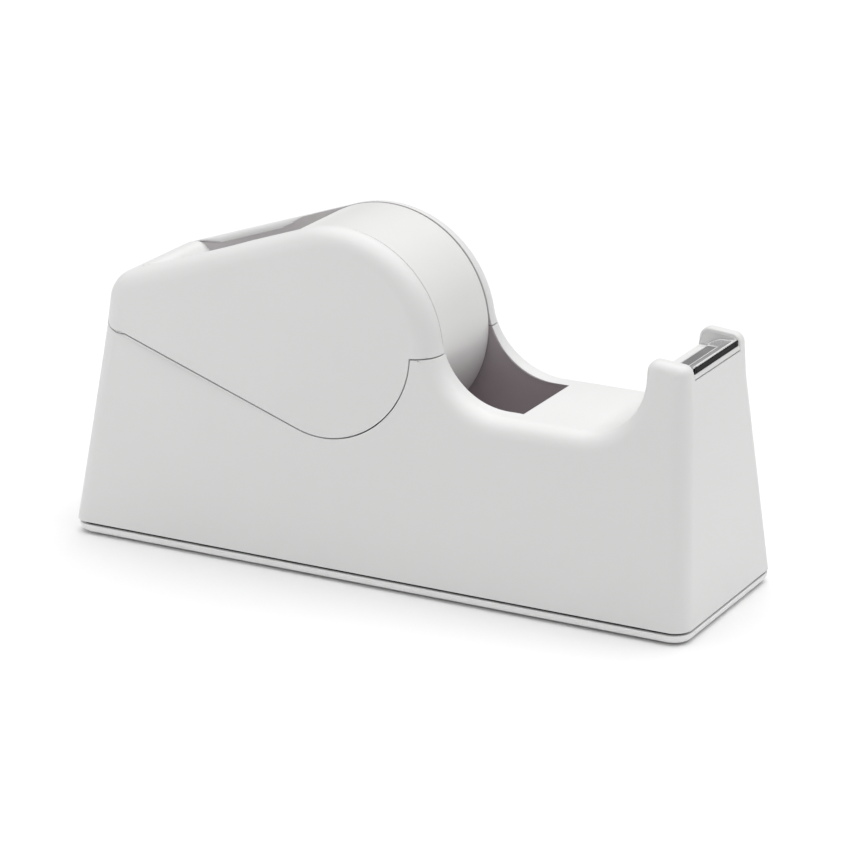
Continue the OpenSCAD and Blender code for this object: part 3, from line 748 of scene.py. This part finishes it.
for name in ("hub_near_half", "hub_far_half"):
    NODES[name].data.materials.clear()
    NODES[name].data.materials.append(HUB)
for names, mat in ((("hub_axle", "hinge_pin"), PIN),
                   (("ballast_screws", "base_screws", "cutter_block_screws"), SCREW),
                   (("ballast_block",), IRON), (("clamp_rivets",), BLACK)):
    for name in names:
        NODES[name].data.materials.clear()
        NODES[name].data.materials.append(mat)

# ---------------------------------------------------------------- cutter
FRAME_X, WEDGE_X, WEDGE_FRONT = 84.7, 88.3, HEAD_FRONT_X - 0.8
WEDGE_A = math.atan2(BLADE_RISE, WEDGE_FRONT - WEDGE_X)
LIP_Z = 74.1
WINDOW_REAR, WINDOW_FRONT = FRAME_X + 0.4, WEDGE_X - 0.4
RIVET_Y, RIVET_Z = 13.2, 74.8


def x_rod(name, y, z, r, x0, x1, n=24):
    return loft(name, [[(x, y + r * math.cos(2 * math.pi * i / n), z + r * math.sin(2 * math.pi * i / n))
                        for i in range(n)] for x in (x0, x1)])


def make_block():
    hw, rx, px = HEAD_HALF - 0.15, HEAD_REAR_X + 2.1, HEAD_FRONT_X - 2.8
    block = slab("block", [
        (rx, POCKET_FLOOR_Z), (px, POCKET_FLOOR_Z), (px, GAP_Z + 0.45), (HEAD_FRONT_X + 0.2, GAP_Z + 0.45),
        (HEAD_FRONT_X + 0.15, GAP_Z + 0.8), (HEAD_FRONT_X - 0.25, LIP_Z), (WEDGE_FRONT, LIP_Z),
        (WEDGE_FRONT, PLATFORM_Z + BLADE_RISE), (WEDGE_X, PLATFORM_Z), (HEAD_REAR_X + 0.4, PLATFORM_Z),
        (HEAD_REAR_X + 0.1, PLATFORM_Z - 0.3), (HEAD_REAR_X + 0.1, PLATFORM_Z - LEDGE_T),
        (rx, PLATFORM_Z - LEDGE_T)], -hw, hw)
    for y in (-RIVET_Y, RIVET_Y):
        cut(block, x_rod("t", y, RIVET_Z, 0.5, WEDGE_FRONT - 0.5, WEDGE_FRONT + 1))
    bevel(block, 0.12)
    smooth(block)
    return block


finish_piece(make_block(), WHITE, "body", "white_body", "cutter_block")


def make_frame():
    hw = HEAD_HALF - 0.5
    tab_in = hw - 0.7
    plate = box("frame", (FRAME_X, -hw + 0.1, PLATFORM_Z), (WEDGE_X - 0.1, hw - 0.1, PLATFORM_Z + 0.4))
    cut(plate, box("t", (WINDOW_REAR, -tab_in + 0.5, 70), (WINDOW_FRONT, tab_in - 0.5, 90)))
    tabs = []
    for y0, y1 in ((tab_in, hw), (-hw, -tab_in)):
        tabs.append(slab("tab", [
            (FRAME_X, PLATFORM_Z), (WEDGE_X + 0.05, PLATFORM_Z),
            (92.83, 75.5), (91.9, 75.6), (WEDGE_X, 75.3), (FRAME_X, PLATFORM_Z + 0.8)], y0, y1))
    for part in [plate] + tabs:
        bevel(part, 0.1)
        smooth(part)
    return add(plate, *tabs)


finish_piece(make_frame(), BRIGHT, "body", "bright_metal", "blade_frame")
# a grey strip in the frame's window stands in for the flat flange's reflection: painted reflection
pad_half = HEAD_HALF - 1.75
pad = box("pad", (WINDOW_REAR + 0.05, -pad_half, PLATFORM_Z), (WINDOW_FRONT - 0.05, pad_half, PLATFORM_Z + 0.3))
bevel(pad, 0.08)
smooth(pad)
finish_piece(pad, PAD_PAINTED_REFLECTION, "body", "grey_pad", "rest_pad")


def make_blade():
    """Toothed plate lying on the wedge, drawn level and then turned up about the wedge's foot."""
    pitch, tooth, thick = 1.3, 0.9, 0.35
    teeth = math.floor(2 * (HEAD_HALF - 1.6) / pitch)
    hw = teeth * pitch / 2
    root = math.dist((WEDGE_X, PLATFORM_Z), (WEDGE_FRONT, PLATFORM_Z + BLADE_RISE))
    outline = [(0.4, -hw), (root, -hw)]
    for i in range(teeth):
        outline += [(root + tooth, -hw + (i + 0.5) * pitch), (root, -hw + (i + 1) * pitch)]
    outline.append((0.4, hw))
    n = len(outline)
    ca, sa = math.cos(WEDGE_A), math.sin(WEDGE_A)
    points = [(WEDGE_X + u * ca - w * sa, y, PLATFORM_Z + u * sa + w * ca)
              for w in (0, thick) for u, y in outline]
    faces = [list(range(n)), list(range(2 * n - 1, n - 1, -1))]
    faces += [[i, n + i, n + (i + 1) % n, (i + 1) % n] for i in range(n)]
    blade = mesh_object("teeth", points, faces)
    bevel(blade, 0.04, segments=1)
    smooth(blade, 30)
    return blade


finish_piece(make_blade(), BLADE, "body", "bright_metal", "blade")
bar = box("bar", (WEDGE_FRONT + 0.03, -HEAD_HALF + 0.6, LIP_Z + 0.03),
          (WEDGE_FRONT + 0.53, HEAD_HALF - 0.6, PLATFORM_Z + BLADE_RISE - 0.02))
for y in (-RIVET_Y, RIVET_Y):
    cut(bar, x_rod("t", y, RIVET_Z, 0.5, WEDGE_FRONT - 1, WEDGE_FRONT + 2))
bevel(bar, 0.08)
smooth(bar)
finish_piece(bar, BLACK, "body", "black_bar", "blade_clamp_bar")

# ---------------------------------------------------------------- floor, light, camera
floor_mat, floor_tree, floor_bsdf = shader("floor", (0.93, 0.93, 0.93), 0.9)
bump(floor_tree, floor_bsdf, noise(floor_tree, 40, 3), 0.02, 0.001)
bpy.ops.mesh.primitive_plane_add(size=12, location=(0, 0, 0))
floor = bpy.context.object
floor.name = "floor"
floor.data.materials.append(floor_mat)

world = bpy.data.worlds.new("studio")
bpy.context.scene.world = world
world.use_nodes = True
world.node_tree.nodes["Background"].inputs["Color"].default_value = (1, 1, 1, 1)
world.node_tree.nodes["Background"].inputs["Strength"].default_value = 0.27


def sun(name, direction, strength, spread):
    light = bpy.data.lights.new(name, "SUN")
    light.energy = strength
    light.angle = math.radians(spread)
    obj = bpy.data.objects.new(name, light)
    bpy.context.scene.collection.objects.link(obj)
    obj.rotation_euler = Vector(direction).to_track_quat("Z", "Y").to_euler()
    return obj


sun("overhead", (0.08, 0.18, 1), 2.8, 80)


def area(name, place, target, size, watts):
    light = bpy.data.lights.new(name, "AREA")
    light.energy = watts
    light.size = size
    obj = bpy.data.objects.new(name, light)
    bpy.context.scene.collection.objects.link(obj)
    obj.location = place
    obj.rotation_euler = (Vector(place) - Vector(target)).to_track_quat("Z", "Y").to_euler()


area("left_fill", (-0.45, -0.45, 0.3), (-0.08, 0, 0.05), 0.3, 0.45)

yaw, pitch = math.radians(27.9306), math.radians(18.7795)
back = Vector((math.sin(yaw) * math.cos(pitch), -math.cos(yaw) * math.cos(pitch), math.sin(pitch)))
right = Vector((math.cos(yaw), math.sin(yaw), 0))
up = back.cross(right)
cam_data = bpy.data.cameras.new("camera")
cam_data.sensor_width = 36
cam_data.lens = 162.26
cam_data.clip_start, cam_data.clip_end = 0.05, 20
camera = bpy.data.objects.new("camera", cam_data)
bpy.context.scene.collection.objects.link(camera)
camera.matrix_world = Matrix.Translation((0.49621, -0.9314, 0.39907)) @ Matrix(
    (right, up, back)).transposed().to_4x4()
bpy.context.scene.camera = camera
bpy.context.scene.view_settings.view_transform = "Standard"
